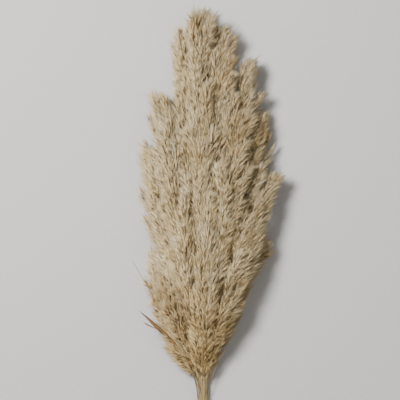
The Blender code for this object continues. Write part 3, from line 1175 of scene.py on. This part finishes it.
sleeve = [vertex.co - tie for vertex in bpy.data.objects["twine_band"].data.vertices]
across = [Vector((point.x, point.z)) for point in sleeve]
corners = [across[index] for index in geometry.convex_hull_2d(across)]
loop = np.array([corner * (1 - TWINE_RADIUS / corner.length) for corner in corners])
loop = np.concatenate([loop, loop[:1]])
passed_at = np.concatenate([[0], np.cumsum(np.linalg.norm(np.diff(loop, axis=0), axis=1))])

turn = np.linspace(0, TWINE_TURNS, POINTS_IN_A_TURN * TWINE_TURNS)
passed = (turn % 1) * passed_at[-1]
wound_x, wound_z = (np.interp(passed, passed_at, loop[:, axis]) for axis in range(2))
rise = np.linspace(tie_low.y + TWINE_RADIUS, tie_high.y - TWINE_RADIUS, len(turn))
winding = np.stack([tie.x + wound_x, rise, tie.z + wound_z], axis=1)
mesh = bmesh.new()
rng = random.Random(SEED)
length = twist_yarns(mesh, winding, rng)
made = piece("twine_turns", mesh, jute)
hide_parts("twine_band")
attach(made, "root")
print("twine wound:", round(length, 3), "m in", TWINE_TURNS, "turns")

# %% [markdown]
# ## Knot
# The ends meet on top in a tight knot. A trefoil curve is the simplest real knot. It is squeezed to the size
# of the knot in the model and opened at one place, and its two ends run down to the canes as short frayed
# tails.

# %% Knot line
KNOT_OPENING = 0.22  # the part of the curve's turn that is left open at each end
KNOT_POINTS = 60
TAIL_SPREAD = 0.0050  # each tail ends this far to the side of the knot, lying on the canes
TAIL_REACH = 0.0140
TAIL_START = 0.15  # share of the way to its end where a tail leaves the knot
TAIL_POINTS = 12
TAIL_BULGE = (0, 0, 0.0012)

knot_low, knot_high = (Vector(corner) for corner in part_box("twine_knot"))
knot = (knot_low + knot_high) / 2
inner = (knot_high - knot_low) / 2 - Vector((1, 1, 1)) * TWINE_RADIUS
t = np.linspace(KNOT_OPENING, math.tau - KNOT_OPENING, KNOT_POINTS) + math.pi
knot_x = (np.sin(t) + 2 * np.sin(2 * t)) / 3
knot_y = (np.cos(t) - 2 * np.cos(2 * t)) / 3
trefoil = np.array(knot) + np.stack([knot_x, knot_y, -np.sin(3 * t)], axis=1) * np.array(inner)
round_canes = (tie_high.z - tie_low.z) / 2 - TWINE_RADIUS
tail_drop = math.sqrt(round_canes**2 - TAIL_SPREAD**2)
tails = []
for end, sign in ((trefoil[0], -1), (trefoil[-1], 1)):
    loose = np.array((tie.x + sign * TAIL_SPREAD, knot.y - TAIL_REACH, tie.z + tail_drop))
    reach = np.linspace(TAIL_START, 1, TAIL_POINTS)[:, None]
    tails.append(end + (loose - end) * reach + np.sin(reach * math.pi) * np.array(TAIL_BULGE))
tied = np.concatenate([tails[0][::-1], trefoil, tails[1]])
print("knot at", tuple(round(value, 4) for value in knot))

# %% Knot
FRAYS = 14
FRAY_SPREAD = 0.45
FRAY_LENGTH = (0.0015, 0.0035)
FRAY_WIDTH = 0.0002

mesh = bmesh.new()
length = twist_yarns(mesh, tied, rng)
for end, before in ((tied[0], tied[2]), (tied[-1], tied[-3])):
    along = Vector(end - before).normalized()
    for _ in range(FRAYS):
        spread = Vector([rng.uniform(-1, 1) for _ in range(3)]) * FRAY_SPREAD
        root = Vector(end) + spread * TWINE_RADIUS
        sliver(mesh, root, root + (along + spread).normalized() * rng.uniform(*FRAY_LENGTH), FRAY_WIDTH)
made = piece("knot", mesh, jute)
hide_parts("twine_knot")
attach(made, "root")
print("twine in the knot and its tails:", round(length, 3), "m")

# %% [markdown]
# ## Dry leaves
# A few leaves were left on the canes. A dry grass leaf folds along its middle, twists, and splits into
# strips. A flat strip would look like paper, and vanish when it is seen edge on. So each blade is a grid of
# faces laid along the blade in the model: the fold gives it a V section, its edges
# curl, and it is narrow as a stalk at first, widens late, and ends in a point. Solidify gives it the
# thickness of paper.

# %% Leaf helpers
LEAF_ACROSS = 6
LEAF_ALONG = 36
LEAF_THICKNESS = 0.00022
LEAF_STALK = 0.12  # the width of the narrow part and what the wide part adds, as shares of the whole
LEAF_WIDENS = 0.88
LEAF_FIRST = 0.01
LEAF_LATE = 0.98
LEAF_FULL = 0.7  # below 1, the wide part is fuller than a plain arch
LEAF_POINT = 0.9
LEAF_CURL = 0.25
LEAF_RIPPLE = 11.0
LEAF_WAVE = 0.15
PRONG_FOLD = 0.5
PRONG_CURL = 0.2
PRONG_RIPPLE = 5.0
PRONG_POINTS = 8
PRONG_BULGE = (0, -0.0012, 0.0008)


def leaf(mesh, line, width, fold, roll, curl, ripple):
    """One folded blade along a line. roll is its turn about the line at its start and at its end."""
    grid = bmesh.ops.create_grid(mesh, x_segments=LEAF_ACROSS, y_segments=LEAF_ALONG, size=1.0)
    path, length = resample(line, np.linalg.norm(np.diff(line, axis=0), axis=1).sum() / (LEAF_ALONG + 1.5))
    along = unit(np.gradient(path, axis=0))
    for vertex in grid["verts"]:
        across, up = vertex.co.x, (vertex.co.y + 1) / 2
        index = min(int(up * (len(path) - 1) + 0.5), len(path) - 1)
        forward = Vector(along[index])
        flat = forward.cross(Vector((0, 0, 1))).normalized()
        normal = flat.cross(forward)
        turn = roll[0] + (roll[1] - roll[0]) * up
        side = flat * math.cos(turn) + normal * math.sin(turn)
        face = normal * math.cos(turn) - flat * math.sin(turn)
        arch = math.sin(math.pi * min(up**3 * LEAF_LATE + LEAF_FIRST, 1))
        spread = LEAF_STALK + LEAF_WIDENS * arch**LEAF_FULL
        half = width / 2 * spread * (1 - up**6 * LEAF_POINT)
        wave = math.sin(up * ripple) * LEAF_WAVE
        depth = abs(across) * math.tan(fold) - curl * abs(across) ** 3 + wave * across
        vertex.co = Vector(path[index]) + (side * across + face * depth) * half
    return length


def blade_line(node):
    """The middle line of a blade of the model."""
    return rings(node)[1]


def add_prong(mesh, line, at, end, width, roll):
    """A strip split off the blade: it leaves the line at a share of its length and runs to a point."""
    base = line[int(at * (len(line) - 1))]
    reach = np.linspace(0, 1, PRONG_POINTS)[:, None]
    bulge = np.sin(reach * math.pi) * np.array(PRONG_BULGE)
    leaf(mesh, base + (end - base) * reach + bulge, width, PRONG_FOLD, roll, PRONG_CURL, PRONG_RIPPLE)


def thicken(mesh):
    """Gives the blades the thickness of paper."""
    bmesh.ops.recalc_face_normals(mesh, faces=mesh.faces[:])
    bmesh.ops.solidify(mesh, geom=mesh.faces[:], thickness=LEAF_THICKNESS)


# %% Leaves
LEAVES = (  # node, width, fold, roll and skin, then each prong: where it leaves, its tip, width and roll
    ("dry_leaf_1", 0.0080, 0.6, (0.1, 0.9), leaf_skin,
     ((0.80, (-0.085, 0.083, 0.040), 0.0026, (0.2, 0.8)),
      (0.62, (-0.083, 0.092, 0.043), 0.0022, (0.7, 0.2)))),
    ("dry_leaf_2", 0.0030, 0.9, (0.8, 2.4), neck_skin,
     ((0.75, (-0.068, 0.083, 0.043), 0.0014, (0.4, 1.0)),)),
    ("dry_leaf_3", 0.0022, 0.8, (0.2, 1.6), neck_skin,
     ((0.6, (0.029, 0.052, 0.030), 0.0012, (0.2, 0.9)),)),
)
for node, width, fold, roll, skin, prongs in LEAVES:
    line = blade_line(node)
    mesh = bmesh.new()
    length = leaf(mesh, line, width, fold, roll, LEAF_CURL, LEAF_RIPPLE)
    for at, end, prong_width, prong_roll in prongs:
        add_prong(mesh, line, at, from_neck(*end), prong_width, prong_roll)
    thicken(mesh)
    made = piece(f"{node}_blade", mesh, skin)
    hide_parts(node)
    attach(made, "root")
    print(made.name, "length", round(length, 3))

# %% [markdown]
# ## Bare straws
# Thin straws that lost their fluff stick out of the bundle. They are strands that taper to a point.

# %% Bare straws
STRAW_STEP = 0.006
STRAW_RADII = (0.0006, 0.0003)
STRAW_SIDES = 6


def straw(mesh, line, radii, sides):
    """A strand that tapers along a line."""
    points, _ = resample(line, STRAW_STEP)
    strand(mesh, points, tapered(radii, len(points)), sides)


for node in straw_nodes:
    mesh = bmesh.new()
    straw(mesh, blade_line(node), STRAW_RADII, STRAW_SIDES)
    made = piece(f"{node}_stalk", mesh, neck_skin)
    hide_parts(node)
    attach(made, "root")
    print(made.name)

# %% [markdown]
# ## Straws at the neck
# Many short straws lie against the canes between the tie and the plumes, where they make the stems look like
# one ribbed column. They start in a ring round the canes and spread a little as the bundle opens.

# %% Neck straws
NECK_STRAWS = 80
NECK_STRAW_POINTS = 10
MIDDLE_STEMS = ("stem_01", "stem_02")  # the ring is laid round the line between these
BUNCH_HALF_WIDTH = 0.0064
BUNCH_HALF_HEIGHT = 0.0062
RING_SCATTER = 0.4
STRAW_START = (-0.002, 0.03)  # above the tie
STRAW_END = (0.012, 0.05)  # above the neck
SPLAY = (0.1, 0.8)  # how much a straw spreads out 50 mm past the place where it begins to
SPLAY_BELOW = 0.006  # that place is this far below the neck
SPLAY_LENGTH = 0.05
SPLAY_CURVE = 1.6
FLAT_SPLAY = 0.6  # they spread less up and down than sideways
NECK_STRAW_RADIUS = (0.0003, 0.0006)
NECK_STRAW_SIDES = 5
STRAW_POINT = 0.0002

rng = random.Random(SEED + 1)
middle_rings = [rings(node) for node in MIDDLE_STEMS]
mesh = bmesh.new()
for index in range(NECK_STRAWS):
    turn = math.tau * (index + rng.uniform(-RING_SCATTER, RING_SCATTER)) / NECK_STRAWS
    start = tie_high.y + rng.uniform(*STRAW_START)
    end = neck_y + rng.uniform(*STRAW_END)
    y = start + (end - start) * np.linspace(0, 1, NECK_STRAW_POINTS)
    line = np.mean([middle_at(found, y) for found in middle_rings], axis=0)
    open_part = np.clip((y - neck_y + SPLAY_BELOW) / SPLAY_LENGTH, 0, None)
    splay = 1 + open_part**SPLAY_CURVE * rng.uniform(*SPLAY)
    line[:, 0] = axis_x + math.cos(turn) * BUNCH_HALF_WIDTH * splay
    line[:, 2] += math.sin(turn) * BUNCH_HALF_HEIGHT * (1 + (splay - 1) * FLAT_SPLAY)
    line[:, 2] = np.maximum(line[:, 2], TABLE_GAP)
    straw(mesh, line, (rng.uniform(*NECK_STRAW_RADIUS), STRAW_POINT), NECK_STRAW_SIDES)
made = piece("neck_straws", mesh, neck_skin)
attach(made, "root")
print("straws at the neck:", NECK_STRAWS)


# %% [markdown]
# ## Stage and light
# A plain pale floor shows the outline best. One large soft lamp from the upper left gives the fluff its
# form, and a weak one from the right and an even sky keep the shadows open.

# %% Floor
def plain_material(name, colour, roughness):
    """One plain colour."""
    made, _, principled = new_material(name)
    principled.inputs["Base Color"].default_value = (*colour, 1)
    principled.inputs["Roughness"].default_value = roughness
    return made


FLOOR_SIZE = 4.0
floor_mesh = bmesh.new()
bmesh.ops.create_grid(floor_mesh, x_segments=1, y_segments=1, size=FLOOR_SIZE)
floor = piece("floor", floor_mesh, plain_material("pale_floor", (0.48, 0.47, 0.455), 0.9))
print("floor:", floor.name)

# %% Lights
LIT_PLACE = (0, 0.05, 0.03)
SKY_COLOUR = (1.0, 0.97, 0.93, 1)
SKY_STRENGTH = 0.29


def soft_lamp(name, place, size, power):
    """A square lamp that faces the bundle."""
    light = bpy.data.lights.new(name, "AREA")
    light.size = size
    light.energy = power
    lamp = bpy.data.objects.new(name, light)
    lamp.location = place
    lamp.rotation_euler = (Vector(LIT_PLACE) - Vector(place)).to_track_quat("-Z", "Y").to_euler()
    bpy.context.scene.collection.objects.link(lamp)


soft_lamp("key_light", (-0.8, 0.7, 1.8), 0.5, 90)
soft_lamp("fill_light", (1.2, -0.6, 1.8), 1.6, 8)
sky = bpy.data.worlds.new("studio")
sky.use_nodes = True
background = sky.node_tree.nodes["Background"]
background.inputs["Color"].default_value = SKY_COLOUR
background.inputs["Strength"].default_value = SKY_STRENGTH
bpy.context.scene.world = sky
print("lamps:", [light.name for light in bpy.data.lights])

# %% [markdown]
# ## Camera
# The bundle lies down, so the camera looks straight down on it. It stands far off with a long lens, so that
# the near plumes don't look larger than the ones beneath them.

# %% Camera
VIEW_WIDTH = 0.568
VIEW_HEIGHT = 3.0  # of the camera above the middle of the bundle
MIDDLE_HEIGHT = 0.03
VIEW_ABOVE_NECK = 0.2556
VIEW_LEFT = 0.0043
SENSOR_WIDTH = 36

lens = bpy.data.cameras.new("camera")
lens.sensor_width = SENSOR_WIDTH
lens.lens = lens.sensor_width * VIEW_HEIGHT / VIEW_WIDTH
camera = bpy.data.objects.new("camera", lens)
camera.location = (axis_x - VIEW_LEFT, neck_y + VIEW_ABOVE_NECK, VIEW_HEIGHT + MIDDLE_HEIGHT)
bpy.context.scene.collection.objects.link(camera)
bpy.context.scene.camera = camera
print("camera over", tuple(round(value, 4) for value in camera.location))
